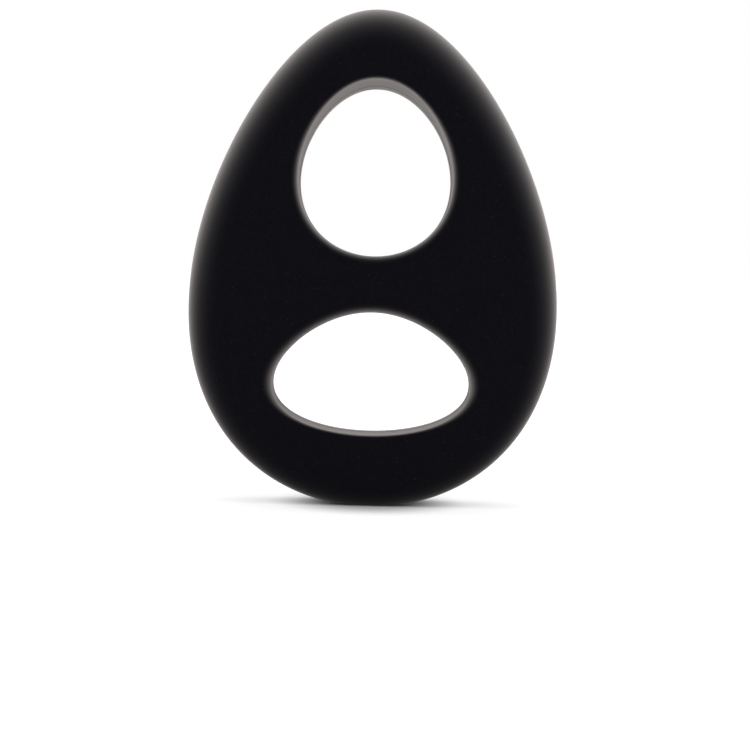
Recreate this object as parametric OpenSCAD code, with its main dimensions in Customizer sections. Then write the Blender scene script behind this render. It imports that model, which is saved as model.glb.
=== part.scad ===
// Soft stretch ring: an egg-shaped elastic moulding with two through openings.
// Flat on the front, dished along the back, thin at the wide end and rising to a lip at the narrow end.
// Millimetres. X is the width, Y the depth (front is -Y), Z the length. It stands on the wide end at Z = 0.

/* [Outline] */
// Greatest width of the egg
egg_width = 66.9; // [54:0.1:84]
// How much the egg narrows toward its upper end, 0 for none
egg_taper = 0.218; // [0.1:0.002:0.26]
// How much of the wide end is flattened where the ring stands
foot_flat = 0.45; // [0.2:0.05:1]

/* [Walls] */
// Wall between the wide end and the lower opening, before the foot is flattened
foot_wall = 13.2; // [10.5:0.1:18]
// Bridge between the two openings
bridge_wall = 10.1; // [8:0.1:16]
// Wall between the upper opening and the tip of the narrow end
tip_wall = 13.2; // [11:0.1:18]

/* [Narrow opening] */
// Width of the upper opening
narrow_width = 27.9; // [20:0.1:33]
// Height of the upper opening
narrow_height = 31.6; // [22:0.1:38]
// How much the upper opening narrows toward its top, 0 for none
narrow_taper = 0.126; // [0:0.002:0.25]

/* [Wide opening] */
// Width of the lower opening
wide_width = 35.9; // [24:0.1:43]
// Height of the lower opening
wide_height = 21.9; // [14:0.1:28]
// How much the lower opening narrows toward its top, 0 for none
wide_taper = 0.218; // [0:0.002:0.25]

/* [Depth] */
// Depth from front to back at the wide end
wide_depth = 14.6; // [10:0.1:20]
// Depth from front to back at the tip of the narrow end
lip_depth = 33; // [22:0.1:42]
// Height at which the back leaves its level run and starts to rise
rise_start = 17; // [5:0.5:35]

/* [Edges] */
// Rounding of the front outer edge at the foot
front_foot_edge = 4; // [1:0.1:6]
// Rounding of the front outer edge at the sides
front_side_edge = 6; // [1:0.1:7]
// Rounding of the front outer edge at the narrow end
front_tip_edge = 7.2; // [1:0.1:8]
// Rounding of the back outer edge at the foot
back_foot_edge = 3.8; // [1:0.1:7]
// Rounding of the back outer edge at the sides
back_side_edge = 7.9; // [1:0.1:8.5]
// Rounding of the crest of the lip at the narrow end
lip_edge = 1.1; // [0.4:0.1:4]
// How far down from the tip the crest of the lip keeps its rounding
crest_run = 26; // [10:0.5:32]
// Rounding of both openings at the front, beside the bridge and at their sides
bridge_front_edge = 2; // [0.4:0.1:2.5]
// Rounding of both openings at the front, at their ends away from the bridge
end_front_edge = 0.7; // [0.4:0.1:2.5]
// Rounding of the narrow opening at the back
narrow_back_edge = 1.5; // [0.4:0.1:3]
// Rounding of the wide opening at the back
wide_back_edge = 3; // [0.4:0.1:4]
// Least straight stretch left between two roundings
least_wall = 0.4; // [0.2:0.1:2]

/* [Material] */
// Colour of the silicone
silicone = "#17171a";

/* [Hidden] */

// Steps along the upper part of the outline, the lower part and the middle of the bridge
up_steps = 64;
low_steps = 56;
bridge_steps = 14;
// Step in degrees along an opening when its nearest place is looked for
look_step = 4;
// Steps over an outer rounding, over an opening's rounding and across the back
edge_steps = 6;
rim_steps = 4;
back_steps = 6;

// Place of the egg's widest point, and the share of its own half-width factor reached there
function widest(k) = -asin(2 * k / (1 + sqrt(1 + 8 * k * k)));
function reach(k) = cos(widest(k)) * (1 - k * sin(widest(k)));

// The openings and walls stacked along the ring set its length
egg_length = foot_wall + wide_height + bridge_wall + narrow_height + tip_wall;

// An egg curve is [half-width factor, half-height, taper, centre height]
function egg_curve(width, height, taper, low) =
    [width / 2 / reach(taper), height / 2, taper, low + height / 2];
outline = egg_curve(egg_width, egg_length, egg_taper, -foot_flat);
wide = egg_curve(wide_width, wide_height, wide_taper, foot_wall - foot_flat);
narrow = egg_curve(narrow_width, narrow_height, narrow_taper,
                   foot_wall + wide_height + bridge_wall - foot_flat);

front_y = -wide_depth / 2;
tip_z = egg_length - foot_flat;
// Radius of the arc that lifts the back from the level run up to the lip
rise = lip_depth - wide_depth;
back_radius = (pow(tip_z - rise_start, 2) + rise * rise) / (2 * rise);
// Height of the middle of the bridge, and the outline's angle there
bridge_z = foot_wall + wide_height + bridge_wall / 2 - foot_flat;
bridge_a = asin((bridge_z - outline[3]) / outline[1]);

// Point [x, z] of an egg curve at angle a, and its outward unit normal
function egg(e, a) = [e[0] * cos(a) * (1 - e[2] * sin(a)), e[3] + e[1] * sin(a)];
function egg_out(e, a) = let (n = [e[1] * cos(a), e[0] * (sin(a) + e[2] * cos(2 * a))]) n / norm(n);

// Smooth step from 0 to 1
function ease(q) = let (c = min(max(q, 0), 1)) c * c * (3 - 2 * c);
function blend(a, b, q) = a + (b - a) * ease(q);

// Depth coordinate of the back at height z: level, then a tangent arc
function back_y(z) = let (u = max(z - rise_start, 0))
    front_y + wide_depth + back_radius - sqrt(back_radius * back_radius - u * u);

// Angle on an egg curve that faces the point [x, z]
function facing(e, c) = atan2((c[1] - e[3]) / e[1], c[0] / e[0]);
// Wall between a point of the outline and the nearest place on an opening
function wall_at(c) = min([for (e = [wide, narrow], a = [0 : look_step : 359]) norm(c - egg(e, a))]);

// Roundings of the outer edges wished for at height z
function front_wish(z) = z < outline[3]
    ? blend(front_foot_edge, front_side_edge, z / outline[3])
    : blend(front_side_edge, front_tip_edge, (z - outline[3]) / outline[1]);
function back_wish(z) = z < outline[3]
    ? blend(back_foot_edge, back_side_edge, z / wide[3])
    : blend(back_side_edge, lip_edge, (z - outline[3]) / (tip_z - crest_run - outline[3]));
// Share of a front and a back rounding that fits into the depth at height z
function room(z, rf, rb) = min(1, (back_y(z) - front_y - least_wall) / (rf + rb));

// Point of a rounded edge: c is the curve's point, n the way out of the material,
// r the rounding and t the turn, 0 on the wall and 90 on the face
function foot(p) = [p[0], p[1], max(p[2], 0)];
function front_point(c, n, r, t) = let (q = c - n * r * (1 - cos(t)))
    foot([q[0], front_y + r * (1 - sin(t)), q[1]]);
function back_point(c, n, r, t) = let (q = c - n * r * (1 - cos(t)))
    foot([q[0], back_y(q[1]) - r * (1 - sin(t)), q[1]]);

// One row of points from the front face round the edge to the back face
function edge_row(c, n, rf, rb, steps) = let (k = room(c[1], rf, rb)) concat(
    [for (i = [0 : steps]) front_point(c, n, k * rf, 90 - 90 * i / steps)],
    [for (i = [0 : steps]) back_point(c, n, k * rb, 90 * i / steps)]);
function outline_row(a) = let (c = egg(outline, a), wall = wall_at(c) - least_wall)
    edge_row(c, egg_out(outline, a),
             min(front_wish(c[1]), wall - max(bridge_front_edge, end_front_edge)),
             min(back_wish(c[1]), wall - max(narrow_back_edge, wide_back_edge)), edge_steps);
// An opening's end away from the bridge is up (1) on the narrow one and down (-1) on the wide one
function opening_row(e, a, rb, end) = edge_row(egg(e, a), -egg_out(e, a),
    blend(bridge_front_edge, end_front_edge, end * sin(a)), rb, rim_steps);

// Angles along the outline: over the narrow end, then round the wide end
up_angles = [for (i = [0 : up_steps]) bridge_a + (180 - 2 * bridge_a) * i / up_steps];
low_angles = [for (i = [0 : low_steps]) 180 - bridge_a + (180 + 2 * bridge_a) * i / low_steps];

// Places round one loop of the ring: along the outline, then back along the middle of the bridge.
// The front loop takes the first points of the outline's rows, the back loop their last.
function last(v) = v[len(v) - 1];
function on_back(p) = [p[0], back_y(p[2]), p[2]];
function close_loop(v, lift) = concat(v, [for (i = [1 : bridge_steps - 1])
    let (p = last(v) + (v[0] - last(v)) * i / bridge_steps) lift ? on_back(p) : p]);
function front_loop(angles) = close_loop([for (a = angles) outline_row(a)[0]], false);
function back_loop(angles) = close_loop([for (a = angles) last(outline_row(a))], true);

// A sheet is a grid of points; its rows run round a loop, and it closes on itself
function sheet_faces(rows, cols, base) = [for (i = [0 : rows - 1], j = [0 : cols - 2])
    let (k = (i + 1) % rows)
    each [[base + i * cols + j, base + k * cols + j, base + k * cols + j + 1],
          [base + i * cols + j, base + k * cols + j + 1, base + i * cols + j + 1]]];
function turned(sheet) = [for (row = sheet) [for (i = [len(row) - 1 : -1 : 0]) row[i]]];
function across(a, b, steps, lift) = [for (i = [0 : steps])
    let (p = a + (b - a) * i / steps) lift && i > 0 && i < steps ? on_back(p) : p];
function flat_list(v) = [for (s = v) each s];
function running(sizes, i) = i == 0 ? 0 : running(sizes, i - 1) + sizes[i - 1];

// The three sheets round one opening: its wall, and the front and back faces out to its loop
function loop_sheets(e, rb, end, angles) = let (
    front = front_loop(angles), back = back_loop(angles),
    rows = [for (p = front) opening_row(e, facing(e, [p[0], p[2]]), rb, end)])
    [turned(rows),
     [for (i = [0 : len(rows) - 1]) across(rows[i][0], front[i], 1, false)],
     turned([for (i = [0 : len(rows) - 1]) across(last(rows[i]), back[i], back_steps, true)])];

// The whole moulding as one closed skin: outer edge, then both openings with their faces
module ring_body() {
    rim = [for (i = [0 : up_steps - 1]) outline_row(up_angles[i])];
    rim_low = [for (i = [0 : low_steps - 1]) outline_row(low_angles[i])];
    sheets = concat([concat(rim, rim_low)],
                    loop_sheets(narrow, narrow_back_edge, 1, up_angles),
                    loop_sheets(wide, wide_back_edge, -1, low_angles));
    sizes = [for (s = sheets) len(s) * len(s[0])];
    color(silicone)
        polyhedron(points = flat_list([for (s = sheets) flat_list(s)]),
                   faces = flat_list([for (i = [0 : len(sheets) - 1])
                       sheet_faces(len(sheets[i]), len(sheets[i][0]), running(sizes, i))]),
                   convexity = 6);
}

ring_body();
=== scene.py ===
"""Builds the looks of a soft stretch ring: an egg-shaped silicone moulding with two through openings.

The ring's skin is worked out by formula as sheets of points that meet edge to edge: the outer edge, and
for each opening its wall and the front and back faces round it. All sizes are in metres. +Z is up along
the ring, and the front is -Y.
"""

import collections
import math

import bmesh
import bpy
import numpy as np
from mathutils import Matrix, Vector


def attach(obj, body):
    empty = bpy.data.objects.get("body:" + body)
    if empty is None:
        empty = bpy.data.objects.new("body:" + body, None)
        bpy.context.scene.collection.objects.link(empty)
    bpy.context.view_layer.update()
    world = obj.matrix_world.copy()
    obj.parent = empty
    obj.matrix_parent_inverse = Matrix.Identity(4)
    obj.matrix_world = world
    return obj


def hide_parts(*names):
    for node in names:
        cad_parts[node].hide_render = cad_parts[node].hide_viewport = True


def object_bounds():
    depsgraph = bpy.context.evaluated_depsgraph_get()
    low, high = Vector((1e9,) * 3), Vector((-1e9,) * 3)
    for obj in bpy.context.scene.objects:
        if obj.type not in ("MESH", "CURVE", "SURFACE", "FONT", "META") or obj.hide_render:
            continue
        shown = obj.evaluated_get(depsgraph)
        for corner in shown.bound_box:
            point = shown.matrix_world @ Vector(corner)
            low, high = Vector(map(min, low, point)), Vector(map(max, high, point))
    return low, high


bl_info = {
    "name": "Soft Stretch Ring",
    "version": (1, 0, 0),
    "blender": (4, 5, 0),
    "location": "View3D > Sidebar > Stretch Ring",
    "description": "Builds a soft silicone ring with two openings, in a white studio",
    "category": "Add Mesh",
}

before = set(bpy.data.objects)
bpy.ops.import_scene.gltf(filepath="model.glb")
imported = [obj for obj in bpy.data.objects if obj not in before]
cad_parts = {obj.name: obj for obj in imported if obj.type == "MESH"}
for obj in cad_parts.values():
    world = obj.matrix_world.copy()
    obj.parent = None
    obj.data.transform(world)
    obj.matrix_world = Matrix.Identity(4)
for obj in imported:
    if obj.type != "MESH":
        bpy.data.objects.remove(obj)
FRAME_LOW, FRAME_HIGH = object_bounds()

MM = 0.001

# Steps of the skin's sheets: over the narrow end, round the wide end and across the bridge
UP_STEPS, LOW_STEPS, BRIDGE_STEPS = 200, 180, 72
# Steps over a rounding, along a wall on either side of its line, over the line and across a face
EDGE_STEPS, WALL_STEPS, LINE_STEPS, FACE_STEPS = 14, 6, 10, 24
# Points closer together than this are one point
WELD = 1e-6

# Moulded grain: the detail and roughness of its noise
GRAIN_DETAIL, GRAIN_ROUGHNESS = 3.0, 0.6
# Soft patches of gloss: how many to a metre, and the detail of their noise
PATCH_SCALE, PATCH_DETAIL = 110.0, 2.0
# Grain and patches added up: the range that counts, and how far it swings the roughness either way
MOTTLE_LOW, MOTTLE_HIGH, GLOSS_SWING = 0.7, 1.3, 0.06
# Dust: cells to a metre, how far from a cell's point a speck ends and is full, and the share of clean cells
DUST_CELLS, SPECK_EDGE, SPECK_CORE, CLEAN_SHARE = 1200.0, 0.16, 0.08, 0.45
# Bloom: the range of the grain that shows it, and the most dust that it adds
BLOOM_LOW, BLOOM_HIGH, BLOOM_MOST = 0.45, 0.75, 0.16

# Floor: half its side, and how many points lie along a side
FLOOR_HALF, FLOOR_POINTS = 6.0, 3
# Painted shadow round the foot: share of the way from the foot out to the oval at which the floor's own
# white starts
PAINTED_SHADOW_CORE = 0.3
# How far up a direction points where the light from above starts, and where it is full
ABOVE_START, ABOVE_FULL = 0.5, 0.95

# Camera: side of the picture in pixels, width of the sensor in millimetres and the nearest distance shown
PICTURE_SIDE = 750
SENSOR_WIDTH = 36.0
CLIP_START = 10 * MM


def length(name, description, millimetres):
    """A size that the panel shows as a length."""
    return bpy.props.FloatProperty(name=name, description=description, default=millimetres * MM,
                                   unit="LENGTH", precision=5)


def number(name, description, value, subtype="NONE"):
    """A plain number, factor or angle for the panel."""
    return bpy.props.FloatProperty(name=name, description=description, default=value, subtype=subtype)


def colour(name, description, value):
    """A linear colour for the panel."""
    return bpy.props.FloatVectorProperty(name=name, description=description, default=value,
                                         subtype="COLOR", size=3, min=0, max=1)


class RingSizes(bpy.types.PropertyGroup):
    """Sizes of the ring's skin. Its width, length and depth at the wide end come from the frame."""

    egg_taper: number("Egg taper", "How much the outline narrows toward the tip", 0.218, "FACTOR")
    foot_flat: length("Foot flat", "How much of the wide end is flattened to stand on", 0.45)
    foot_wall: length("Foot wall", "Wall under the wide opening, before the foot is flattened", 13.2)
    bridge_wall: length("Bridge", "Wall between the openings", 10.1)
    narrow_width: length("Narrow opening width", "Width of the upper opening", 27.9)
    narrow_height: length("Narrow opening height", "Height of the upper opening", 31.6)
    narrow_taper: number("Narrow opening taper", "How much it narrows toward its top", 0.126, "FACTOR")
    wide_width: length("Wide opening width", "Width of the lower opening", 35.9)
    wide_height: length("Wide opening height", "Height of the lower opening", 21.9)
    wide_taper: number("Wide opening taper", "How much it narrows toward its top", 0.218, "FACTOR")
    lip_depth: length("Lip depth", "Depth from front to back at the tip", 33)
    rise_start: length("Rise start", "Height at which the back starts to rise", 17)
    front_foot_edge: length("Front foot edge", "Width of the front edge's rounding at the foot", 4)
    front_side_edge: length("Front side edge", "Width of the front edge's rounding at the sides", 6)
    front_tip_edge: length("Front tip edge", "Width of the front edge's rounding at the tip", 7.2)
    side_reach: number("Side reach", "Depth of the front edge by its width, beside the wide opening", 1.2)
    tip_reach: number("Tip reach", "Depth of the front edge by its width, along the upper half", 1.5)
    back_foot_edge: length("Back foot edge", "Rounding of the back edge at the foot", 3.8)
    back_side_edge: length("Back side edge", "Rounding of the back edge at the sides", 7.9)
    lip_edge: length("Lip edge", "Rounding of the crest of the lip", 1.1)
    crest_run: length("Crest run", "How far down from the tip the crest keeps its rounding", 26)
    narrow_rim: length("Narrow rim", "Width of the upper opening's front rim, at its sides and bridge", 1.3)
    wide_rim: length("Wide rim", "Width of the lower opening's front rim, at its sides and bridge", 2)
    narrow_end_rim: length("Narrow end rim", "Width of the upper opening's front rim at its top", 0.7)
    wide_end_rim: length("Wide end rim", "Width of the lower opening's front rim at its bottom", 0.45)
    rim_reach: number("Rim reach", "Depth of the openings' front rims by their width", 2.3)
    narrow_back_edge: length("Narrow back edge", "Rounding of the upper opening behind", 1.5)
    wide_back_edge: length("Wide back edge", "Rounding of the lower opening behind", 3)
    line_height: length("Parting line height", "How far the mould's parting line stands proud", 0.05)
    line_width: length("Parting line width", "Half the width of the mould's parting line", 0.25)
    line_place: number("Parting line place", "Share of the wall in front of the line", 0.68, "FACTOR")


class SiliconeLook(bpy.types.PropertyGroup):
    """Finish of the silicone."""

    base: colour("Base", "Colour of the silicone", (0.0001, 0.0001, 0.0034))
    dust: colour("Dust", "Colour of the fine dust specks", (0.022, 0.021, 0.022))
    roughness: number("Roughness", "Mean roughness of the skin", 0.45, "FACTOR")
    shine: number("Shine", "Specular level of the skin", 0.013, "FACTOR")
    sheen: number("Sheen", "Strength of the velvety sheen", 0.9, "FACTOR")
    sheen_spread: number("Sheen spread", "Roughness of the velvety sheen", 0.42, "FACTOR")
    sheen_tint: colour("Sheen tint", "Colour of the velvety sheen", (1.0, 0.93, 0.9))
    grain: length("Grain", "Size of the moulded grain", 0.34)
    grain_depth: length("Grain depth", "Depth of the moulded grain", 0.012)


class StudioLook(bpy.types.PropertyGroup):
    """Light, floor and camera."""

    floor_colour: colour("Floor", "Colour of the floor", (0.6, 0.6, 0.6))
    floor_lift: number("Floor lift", "White that the floor shows beyond its own light", 0.56)
    # The floor's own white fades out in an oval round the foot, a painted shadow; these give the oval's
    # reach
    painted_shadow_width: length("Lift width", "How far to the side of the foot the floor's white is full", 19)
    painted_shadow_depth: length("Lift depth", "How far before and behind the foot the floor's white is full", 22)
    behind: number("Behind", "Brightness of the surroundings behind, above and beside the ring", 1.0)
    in_front: number("In front", "Brightness of the surroundings in front of the ring", 0.05)
    dim_full: number("Dim from", "How far forward a direction points where the light is dimmest", 0.95)
    dim_none: number("Dim until", "How far forward a direction points where the light is full", 0.2)
    overhead: number("Overhead", "Brightness that the surroundings gain straight above the ring", 0.5)
    camera_distance: length("Camera distance", "From the ring's middle plane to the camera", 376.4)
    camera_height: length("Camera height", "Height of the camera above the floor", 44.1)
    camera_side: length("Camera side", "How far the camera is off to the right", 0.7)
    camera_tilt: number("Camera tilt", "How far the camera looks down", math.radians(3.17), "ANGLE")
    camera_roll: number("Camera roll", "How far the camera rolls to its left", math.radians(1.3), "ANGLE")
    focal_pixels: number("Focal length", "Focal length of the camera, in pixels of the picture", 2071)


# An egg curve: the factor A of its half-width, its half-height b, its taper k and the height c of its centre
Egg = collections.namedtuple("Egg", "half_width half_height taper centre")


def egg_curve(width, height, taper, low):
    """Egg curve of a width and height whose lowest point is at height low.

    The curve is x = A cos a (1 - k sin a), z = c + b sin a. It is widest where cos 2a = sin a / -k."""
    sine = -2 * taper / (1 + math.sqrt(1 + 8 * taper * taper))
    reach = math.sqrt(1 - sine * sine) * (1 - taper * sine)
    return Egg(width / 2 / reach, height / 2, taper, low + height / 2)


def egg_points(egg, angle):
    """Points (x, z) of an egg curve at each angle."""
    x = egg.half_width * np.cos(angle) * (1 - egg.taper * np.sin(angle))
    return np.stack([x, egg.centre + egg.half_height * np.sin(angle)], -1)


def egg_out(egg, angle):
    """Outward unit normals (x, z) of an egg curve: its tangent turned by a quarter."""
    x = egg.half_height * np.cos(angle)
    z = egg.half_width * (np.sin(angle) + egg.taper * np.cos(2 * angle))
    normal = np.stack([x, z], -1)
    return normal / np.linalg.norm(normal, axis=-1, keepdims=True)


def facing(egg, points):
    """Angle on an egg curve that faces each point (x, z)."""
    return np.arctan2((points[:, 1] - egg.centre) / egg.half_height, points[:, 0] / egg.half_width)


def blend(first, second, share):
    """From first to second along the smooth step 3q^2 - 2q^3."""
    q = np.clip(share, 0, 1)
    return first + (second - first) * q * q * (3 - 2 * q)


class RingForm:
    """The ring's curves at one set of sizes."""

    def __init__(self, sizes):
        """Stacks foot, openings and bridge along the ring, and finds the radius of the back's arc."""
        self.sizes = sizes
        self.front = FRAME_LOW.y
        # The wide end is centred, so its level back is as far behind the middle as the front is before it
        self.level = -FRAME_LOW.y
        self.tip = FRAME_HIGH.z
        width = FRAME_HIGH.x - FRAME_LOW.x
        self.outline = egg_curve(width, self.tip + sizes.foot_flat, sizes.egg_taper, -sizes.foot_flat)
        wide_low = sizes.foot_wall - sizes.foot_flat
        self.wide = egg_curve(sizes.wide_width, sizes.wide_height, sizes.wide_taper, wide_low)
        bridge_low = wide_low + sizes.wide_height
        self.narrow = egg_curve(sizes.narrow_width, sizes.narrow_height, sizes.narrow_taper,
                                bridge_low + sizes.bridge_wall)
        self.bridge = bridge_low + sizes.bridge_wall / 2
        rise = sizes.lip_depth - (self.level - self.front)
        self.back_radius = ((self.tip - sizes.rise_start) ** 2 + rise ** 2) / (2 * rise)

    def back(self, z):
        """Depth coordinate of the back at height z: level, then an arc that leaves it smoothly."""
        past = np.maximum(z - self.sizes.rise_start, 0)
        return self.level + self.back_radius - np.sqrt(self.back_radius ** 2 - past ** 2)

    def front_edge(self, z):
        """Width of the front outer edge's rounding at height z, blended from foot to side to tip."""
        sizes, middle = self.sizes, self.outline.centre
        low = blend(sizes.front_foot_edge, sizes.front_side_edge, z / middle)
        above = (z - middle) / self.outline.half_height
        high = blend(sizes.front_side_edge, sizes.front_tip_edge, above)
        return np.where(z < middle, low, high)

    def front_reach(self, z):
        """Depth of the front outer edge by its width at height z.

        It is blended from 1 at the foot to the sides and on to the upper half."""
        sizes, middle = self.sizes, self.wide.centre
        low = blend(1, sizes.side_reach, z / middle)
        above = (z - middle) / (self.narrow.centre - middle)
        high = blend(sizes.side_reach, sizes.tip_reach, above)
        return np.where(z < middle, low, high)

    def back_edge(self, z):
        """Rounding of the back outer edge at height z, blended from foot to side to the lip's crest."""
        sizes, middle = self.sizes, self.outline.centre
        low = blend(sizes.back_foot_edge, sizes.back_side_edge, z / self.wide.centre)
        above = (z - middle) / (self.tip - sizes.crest_run - middle)
        high = blend(sizes.back_side_edge, sizes.lip_edge, above)
        return np.where(z < middle, low, high)

    def rounding(self, points, out, radius, reach, turn, on_back):
        """Rows over a quarter of an ellipse of width r and depth q r.

        Each point steps into the material by r (1 - cos t), and off the face by q r (1 - sin t)."""
        inward = radius[:, None] * (1 - np.cos(turn))
        place = points[:, None] - out[:, None] * inward[..., None]
        lift = (reach * radius)[:, None] * (1 - np.sin(turn))
        y = self.back(place[..., 1]) - lift if on_back else self.front + lift
        return np.stack([place[..., 0], y, place[..., 1]], -1)

    def band(self, points, out, front_edge, front_reach, back_edge, line):
        """Rows from the front face round the edge to the back face.

        A front rounding, a straight wall and a back quarter-round. The wall's rows crowd together at the
        parting line's place. If the wall has the line, they rise off it by h cos^2 of a quarter turn times
        their distance from the line over its half-width."""
        turn = np.linspace(0, math.pi / 2, EDGE_STEPS + 1)
        front = self.rounding(points, out, front_edge, front_reach, turn[::-1], False)
        back = self.rounding(points, out, back_edge, 1, turn, True)
        sizes = self.sizes
        start, end = front[:, -1, 1], back[:, 0, 1]
        middle = start + (end - start) * sizes.line_place
        half = np.minimum(sizes.line_width, np.minimum(middle - start, end - middle) / 2)
        run = np.linspace(0, 1, WALL_STEPS + 1)
        over = np.linspace(-1, 1, LINE_STEPS + 1)
        before = start[:, None] + (middle - half - start)[:, None] * run[1:-1]
        across = middle[:, None] + half[:, None] * over
        after = (middle + half)[:, None] + (end - middle - half)[:, None] * run[1:-1]
        y = np.concatenate([before, across, after], 1)
        away = np.clip((y - middle[:, None]) / half[:, None], -1, 1)
        proud = (sizes.line_height if line else 0) * np.cos(away * math.pi / 2) ** 2
        place = points[:, None] + out[:, None] * proud[..., None]
        wall = np.stack([place[..., 0], y, place[..., 1]], -1)
        return np.concatenate([front, wall, back], 1)

    def loop(self, ends, on_back):
        """Points round one opening: along the outline's row ends, then straight back across the bridge."""
        step = np.linspace(0, 1, BRIDGE_STEPS + 1)[1:-1, None]
        across = ends[-1] * (1 - step) + ends[0] * step
        if on_back:
            across[:, 1] = self.back(across[:, 2])
        return np.concatenate([ends, across])

    def face(self, rim, loop, on_back):
        """Sheet between an opening's rim and its loop: straight lines, laid onto the back where asked."""
        step = np.linspace(0, 1, FACE_STEPS + 1)[:, None]
        sheet = rim[:, None] * (1 - step) + loop[:, None] * step
        if on_back:
            sheet[:, 1:-1, 1] = self.back(sheet[:, 1:-1, 2])
        return sheet

    def opening_sheets(self, egg, rows, rim, end_rim, back_edge, end):
        """The wall of one opening and the front and back faces out to the outline's rows.

        The end away from the bridge is up (1) or down (-1); the front rim blends toward it."""
        front_loop, back_loop = self.loop(rows[:, 0], False), self.loop(rows[:, -1], True)
        angle = facing(egg, front_loop[:, [0, 2]])
        front_edge = blend(rim, end_rim, end * np.sin(angle))
        wall = self.band(egg_points(egg, angle), -egg_out(egg, angle),
                         front_edge, self.sizes.rim_reach, np.full(len(angle), back_edge), True)
        front = self.face(wall[:, 0], front_loop, False)
        back = self.face(wall[:, -1], back_loop, True)
        return [wall[:, ::-1], front, back[:, ::-1]]

    def sheets(self):
        """All sheets of the skin, each a grid of points whose rows run round a loop."""
        sizes = self.sizes
        start = math.asin((self.bridge - self.outline.centre) / self.outline.half_height)
        up = np.linspace(start, math.pi - start, UP_STEPS + 1)[:-1]
        low = np.linspace(math.pi - start, math.tau + start, LOW_STEPS + 1)[:-1]
        angle = np.concatenate([up, low])
        points = egg_points(self.outline, angle)
        z = points[:, 1]
        outer = self.band(points, egg_out(self.outline, angle), self.front_edge(z), self.front_reach(z),
                          self.back_edge(z), False)
        over_tip = outer[:UP_STEPS + 1]
        round_foot = np.concatenate([outer[UP_STEPS:], outer[:1]])
        return [outer,
                *self.opening_sheets(self.narrow, over_tip, sizes.narrow_rim, sizes.narrow_end_rim,
                                     sizes.narrow_back_edge, 1),
                *self.opening_sheets(self.wide, round_foot, sizes.wide_rim, sizes.wide_end_rim,
                                     sizes.wide_back_edge, -1)]


def sheet_faces(rows, columns, base):
    """Quads of a grid of points whose rows close on themselves."""
    row, column = np.meshgrid(np.arange(rows), np.arange(columns - 1), indexing="ij")
    after = (row + 1) % rows
    corners = [row * columns + column, after * columns + column,
               after * columns + column + 1, row * columns + column + 1]
    return np.stack(corners, -1).reshape(-1, 4) + base


def mesh_of_sheets(name, sheets):
    """One closed mesh of several sheets with its seams welded.

    Its points are held to the frame's box, which flattens the foot."""
    points = np.concatenate([sheet.reshape(-1, 3) for sheet in sheets])
    points = np.clip(points, FRAME_LOW, FRAME_HIGH)
    base = np.cumsum([0] + [sheet.shape[0] * sheet.shape[1] for sheet in sheets])
    faces = np.concatenate([sheet_faces(*sheet.shape[:2], start) for sheet, start in zip(sheets, base)])
    mesh = bpy.data.meshes.new(name)
    mesh.from_pydata(points, [], faces)
    skin = bmesh.new()
    skin.from_mesh(mesh)
    bmesh.ops.remove_doubles(skin, verts=skin.verts, dist=WELD)
    bmesh.ops.recalc_face_normals(skin, faces=skin.faces)
    open_edges = sum(len(edge.link_faces) != 2 for edge in skin.edges)
    if open_edges:
        raise RuntimeError(f"{name} has {open_edges} open edges")
    skin.to_mesh(mesh)
    skin.free()
    mesh.shade_smooth()
    return mesh


def add_object(name, data):
    """Links a new object at the origin."""
    made = bpy.data.objects.new(name, data)
    bpy.context.scene.collection.objects.link(made)
    return made


def set_inputs(tree, node, inputs):
    """Gives each named socket of a node its value, or links it to another node's output."""
    for socket, value in inputs.items():
        if isinstance(value, bpy.types.NodeSocket):
            tree.links.new(value, node.inputs[socket])
        else:
            node.inputs[socket].default_value = value


def add_node(tree, kind, inputs, **settings):
    """Adds a shader node. An input is a value for its socket or another node's output to link."""
    node = tree.nodes.new(kind)
    for key, value in settings.items():
        setattr(node, key, value)
    set_inputs(tree, node, inputs)
    return node


def combine(tree, operation, *values):
    """Output of one math operation on its values."""
    node = add_node(tree, "ShaderNodeMath", dict(enumerate(values)), operation=operation)
    return node.outputs["Value"]


def ramp(tree, value, start, end, first, last, kind="LINEAR"):
    """Output that goes from first to last while the value goes from start to end, and stays level beyond."""
    ranges = {"Value": value, "From Min": start, "From Max": end, "To Min": first, "To Max": last}
    node = add_node(tree, "ShaderNodeMapRange", ranges, interpolation_type=kind)
    return node.outputs["Result"]


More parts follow.
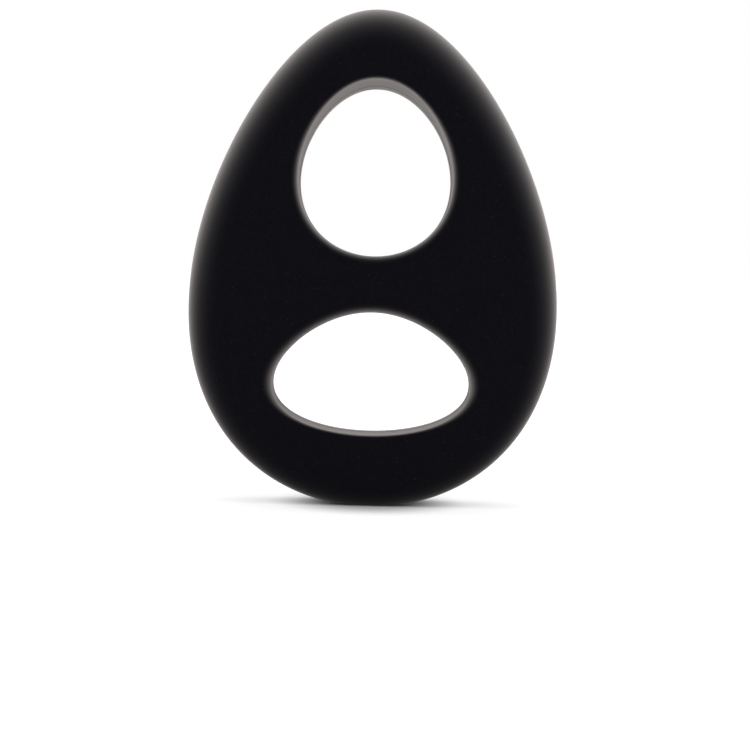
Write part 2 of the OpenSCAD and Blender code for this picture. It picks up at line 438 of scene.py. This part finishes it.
def silicone_material(look):
    """Matte black silicone with a velvety sheen, a moulded grain, patches of gloss and specks of dust."""
    material = bpy.data.materials.new("velvet_silicone")
    material.use_nodes = True
    tree = material.node_tree
    place = tree.nodes.new("ShaderNodeTexCoord").outputs["Object"]
    noise = add_node(tree, "ShaderNodeTexNoise", {"Vector": place, "Scale": 1 / look.grain,
                                                  "Detail": GRAIN_DETAIL, "Roughness": GRAIN_ROUGHNESS})
    grain = noise.outputs["Fac"]
    patches = add_node(tree, "ShaderNodeTexNoise", {"Vector": place, "Scale": PATCH_SCALE,
                                                    "Detail": PATCH_DETAIL})
    mottle = combine(tree, "ADD", grain, patches.outputs["Fac"])
    gloss = ramp(tree, mottle, MOTTLE_LOW, MOTTLE_HIGH,
                 look.roughness - GLOSS_SWING, look.roughness + GLOSS_SWING)
    cells = add_node(tree, "ShaderNodeTexVoronoi", {"Vector": place, "Scale": DUST_CELLS,
                                                    "Randomness": 1.0})
    speck = ramp(tree, cells.outputs["Distance"], SPECK_EDGE, SPECK_CORE, 0.0, 1.0)
    chance = add_node(tree, "ShaderNodeSeparateColor", {"Color": cells.outputs["Color"]})
    some = ramp(tree, chance.outputs["Red"], CLEAN_SHARE, 1.0, 0.0, 1.0)
    bloom = ramp(tree, grain, BLOOM_LOW, BLOOM_HIGH, 0.0, BLOOM_MOST)
    dusty = combine(tree, "MULTIPLY_ADD", speck, some, bloom)
    shade = add_node(tree, "ShaderNodeMix", {"Factor": dusty, "A": (*look.base, 1), "B": (*look.dust, 1)},
                     data_type="RGBA")
    relief = add_node(tree, "ShaderNodeBump", {"Height": grain, "Strength": 1.0,
                                               "Distance": look.grain_depth})
    set_inputs(tree, tree.nodes["Principled BSDF"], {
        "Base Color": shade.outputs["Result"],
        "Roughness": gloss,
        "Normal": relief.outputs["Normal"],
        "Specular IOR Level": look.shine,
        "Sheen Weight": look.sheen,
        "Sheen Roughness": look.sheen_spread,
        "Sheen Tint": (*look.sheen_tint, 1),
    })
    return material


def seen_ray(tree):
    """Output that is 1 on the rays by which a background is seen: camera, glossy and transmission rays."""
    ray = tree.nodes.new("ShaderNodeLightPath").outputs
    glossy = combine(tree, "MAXIMUM", ray["Is Camera Ray"], ray["Is Glossy Ray"])
    return combine(tree, "MAXIMUM", glossy, ray["Is Transmission Ray"])


def floor_material(look):
    """White floor: matte, with some white of its own in what is seen of it.

    Inside an oval round the foot that white fades out, so that the ring's own shadow stays dark there; the
    fade also darkens the unshadowed floor round the foot, a painted shadow."""
    material = bpy.data.materials.new("floor_white")
    material.use_nodes = True
    tree = material.node_tree
    place = tree.nodes.new("ShaderNodeTexCoord").outputs["Object"]
    # Painted shadow: the floor's own white is faded out in an oval round the foot, darker toward the foot
    scale = (1 / look.painted_shadow_width, 1 / look.painted_shadow_depth, 0)
    oval = add_node(tree, "ShaderNodeMapping", {"Vector": place, "Scale": scale})
    away = add_node(tree, "ShaderNodeVectorMath", {0: oval.outputs["Vector"]}, operation="LENGTH")
    white = ramp(tree, away.outputs["Value"], PAINTED_SHADOW_CORE, 1.0, 0.0, look.floor_lift, "SMOOTHSTEP")
    set_inputs(tree, tree.nodes["Principled BSDF"], {
        "Base Color": (*look.floor_colour, 1),
        "Roughness": 1.0,
        "Specular IOR Level": 0.0,
        "Emission Color": (1, 1, 1, 1),
        "Emission Strength": combine(tree, "MULTIPLY", seen_ray(tree), white),
    })
    return material


def floor_mesh(look):
    """Flat square floor: a grid of points over x and y at height zero."""
    side = np.linspace(-FLOOR_HALF, FLOOR_HALF, FLOOR_POINTS)
    x, y = np.meshgrid(side, side, indexing="ij")
    points = np.stack([x, y, np.zeros_like(x)], -1).reshape(-1, 3)
    step = np.arange(FLOOR_POINTS - 1)
    row, column = np.meshgrid(step, step, indexing="ij")
    first = (row * FLOOR_POINTS + column).ravel()
    after = first + FLOOR_POINTS
    mesh = bpy.data.meshes.new("floor")
    mesh.from_pydata(points, [], np.stack([first, after, after + 1, first + 1], -1))
    mesh.materials.append(floor_material(look))
    return mesh


def studio_world(look):
    """White surroundings behind and beside the ring, dimmer in front of it and brighter straight above.

    Where the surroundings themselves are seen they are plain white."""
    world = bpy.data.worlds.new("studio")
    world.use_nodes = True
    tree = world.node_tree
    direction = tree.nodes.new("ShaderNodeTexCoord").outputs["Generated"]
    parts = add_node(tree, "ShaderNodeSeparateXYZ", {"Vector": direction})
    level = ramp(tree, parts.outputs["Y"], -look.dim_full, -look.dim_none, look.in_front, look.behind,
                 "SMOOTHSTEP")
    above = ramp(tree, parts.outputs["Z"], ABOVE_START, ABOVE_FULL, 0.0, look.overhead, "SMOOTHSTEP")
    light = combine(tree, "ADD", level, above)
    shown = add_node(tree, "ShaderNodeMix", {"Factor": seen_ray(tree), "A": light, "B": 1.0})
    set_inputs(tree, tree.nodes["Background"], {"Color": (1, 1, 1, 1), "Strength": shown.outputs["Result"]})
    return world


def make_camera(look):
    """Camera in front of the ring, looking along +Y, tilted down and rolled as the picture is."""
    data = bpy.data.cameras.new("camera")
    data.sensor_width = SENSOR_WIDTH
    data.lens = look.focal_pixels / PICTURE_SIDE * SENSOR_WIDTH
    data.clip_start = CLIP_START
    camera = add_object("camera", data)
    tilt = Matrix.Rotation(math.pi / 2 - look.camera_tilt, 4, "X")
    roll = Matrix.Rotation(look.camera_roll, 4, "Z")
    place = Matrix.Translation((look.camera_side, -look.camera_distance, look.camera_height))
    camera.matrix_world = place @ tilt @ roll
    bpy.context.scene.camera = camera


class STRETCH_RING_OT_skin(bpy.types.Operator):
    """Builds the ring's silicone skin in place of the plain solid"""

    bl_idname = "stretch_ring.skin"
    bl_label = "Ring Skin"

    def execute(self, context):
        """Makes the skin, its finish and its ties to the frame."""
        form = RingForm(context.scene.ring_sizes)
        skin = add_object("ring_skin", mesh_of_sheets("ring_skin", form.sheets()))
        skin.data.materials.append(silicone_material(context.scene.silicone_look))
        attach(skin, "root")
        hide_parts("ring_body")
        return {"FINISHED"}


class STRETCH_RING_OT_studio(bpy.types.Operator):
    """Builds the white floor, the light and the camera"""

    bl_idname = "stretch_ring.studio"
    bl_label = "Studio"

    def execute(self, context):
        """Makes the stage round the ring."""
        look = context.scene.studio_look
        add_object("floor", floor_mesh(look))
        context.scene.world = studio_world(look)
        make_camera(look)
        context.scene.view_settings.view_transform = "Standard"
        return {"FINISHED"}


class STRETCH_RING_PT_maker(bpy.types.Panel):
    """Lists the ring's sizes and looks, and the buttons that build it"""

    bl_idname = "STRETCH_RING_PT_maker"
    bl_label = "Stretch Ring"
    bl_space_type = "VIEW_3D"
    bl_region_type = "UI"
    bl_category = "Stretch Ring"

    def draw(self, context):
        """Shows each group of settings over its button."""
        groups = ((("ring_sizes", "silicone_look"), STRETCH_RING_OT_skin),
                  (("studio_look",), STRETCH_RING_OT_studio))
        for names, operator in groups:
            box = self.layout.box()
            for name in names:
                settings = getattr(context.scene, name)
                for key in settings.__annotations__:
                    box.prop(settings, key)
            box.operator(operator.bl_idname)


CLASSES = (RingSizes, SiliconeLook, StudioLook,
           STRETCH_RING_OT_skin, STRETCH_RING_OT_studio, STRETCH_RING_PT_maker)


def register():
    """Registers the classes and hangs the settings on the scene."""
    for each in CLASSES:
        bpy.utils.register_class(each)
    bpy.types.Scene.ring_sizes = bpy.props.PointerProperty(type=RingSizes)
    bpy.types.Scene.silicone_look = bpy.props.PointerProperty(type=SiliconeLook)
    bpy.types.Scene.studio_look = bpy.props.PointerProperty(type=StudioLook)


def unregister():
    """Takes the settings off the scene and the classes away."""
    del bpy.types.Scene.studio_look
    del bpy.types.Scene.silicone_look
    del bpy.types.Scene.ring_sizes
    for each in reversed(CLASSES):
        bpy.utils.unregister_class(each)


def main():
    """Builds the ring and its studio."""
    register()
    bpy.ops.stretch_ring.skin()
    bpy.ops.stretch_ring.studio()


if __name__ == "__main__":
    main()
